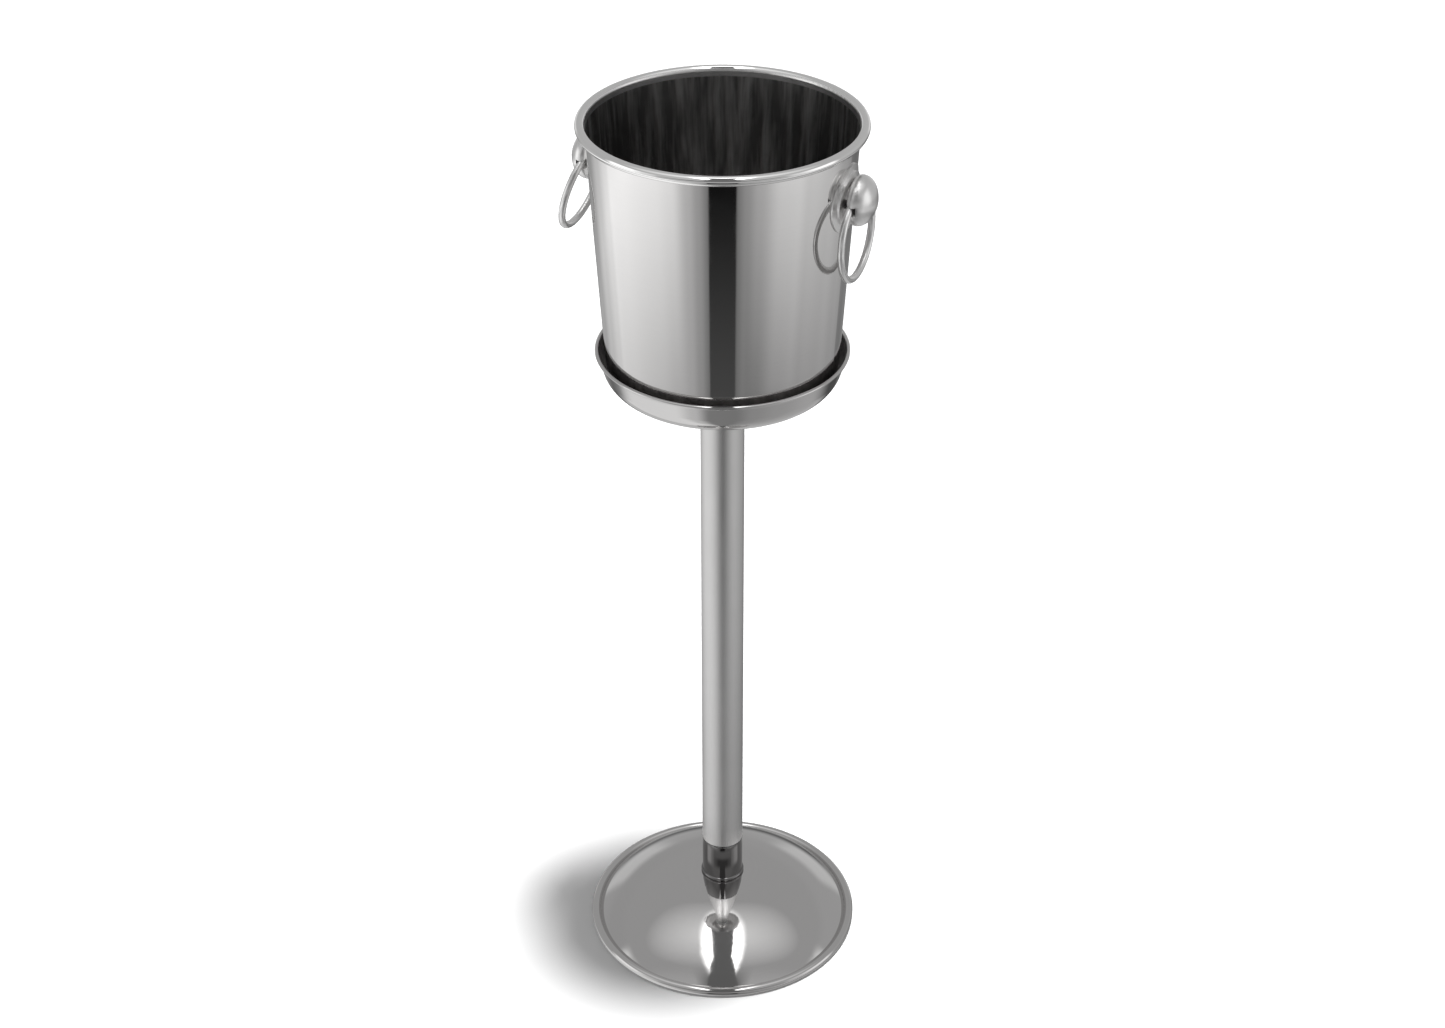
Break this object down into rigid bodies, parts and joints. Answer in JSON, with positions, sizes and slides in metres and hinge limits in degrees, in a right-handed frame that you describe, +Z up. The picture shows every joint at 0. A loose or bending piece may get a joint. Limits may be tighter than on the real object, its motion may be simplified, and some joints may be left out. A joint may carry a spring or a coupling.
{
  "type": "champagne bucket stand",
  "caption": "Polished steel ice bucket with ring handles, standing loose in a shallow tray on a tube column with a weighted round base.",
  "frame": {"origin": "on the floor, under the column's axis", "axes": "+Z up along the column, the two handles on the X axis with the right one at +X, +Y to the back of a viewer who has the handles left and right"},
  "size_m": [0.2716, 0.253, 0.8231],
  "materials": {
    "mirror_steel": "mirror-polished stainless steel with faint polishing lines round its axis",
    "satin_steel": "fine satin stainless steel, brushed along the tube",
    "plated_steel": "bright zinc-plated steel",
    "cast_iron": "rough casting, black primer",
    "rubber": "matt black rubber",
    "nylon": "natural nylon"
  },
  "bodies": {
    "stand": {"base_cover": "mirror_steel", "base_weight": "cast_iron", "base_plate": "plated_steel", "base_plate_screws": "plated_steel", "base_foot_ring": "rubber", "base_plain_washer": "plated_steel", "base_spring_washer": "plated_steel", "base_bolt": "plated_steel", "base_collar": "mirror_steel", "column_tube": "satin_steel", "column_top_plug": "plated_steel", "tray_dish": "mirror_steel", "tray_washer": "mirror_steel", "tray_screw": "mirror_steel"},
    "bucket": {"bucket_shell": "mirror_steel", "handle_rose_right": "mirror_steel", "handle_knob_right": "mirror_steel", "handle_washer_right": "nylon", "handle_screw_right": "mirror_steel", "handle_rose_left": "mirror_steel", "handle_knob_left": "mirror_steel", "handle_washer_left": "nylon", "handle_screw_left": "mirror_steel"},
    "ring_right": {"handle_ring_right": "mirror_steel"},
    "ring_left": {"handle_ring_left": "mirror_steel"}
  },
  "joints": [
    {"name": "bucket_lift", "type": "slide", "parent": "stand", "child": "bucket", "axis": [0, 0, 1], "range_m": [0, 0.15]},
    {"name": "ring_right_swing", "type": "hinge", "parent": "bucket", "child": "ring_right", "pos_m": [0.1165, 0, 0.7765], "axis": [0, -1, 0], "range_deg": [-6, 18]},
    {"name": "ring_left_swing", "type": "hinge", "parent": "bucket", "child": "ring_left", "pos_m": [-0.1165, 0, 0.7765], "axis": [0, 1, 0], "range_deg": [-22, 2]}
  ]
}
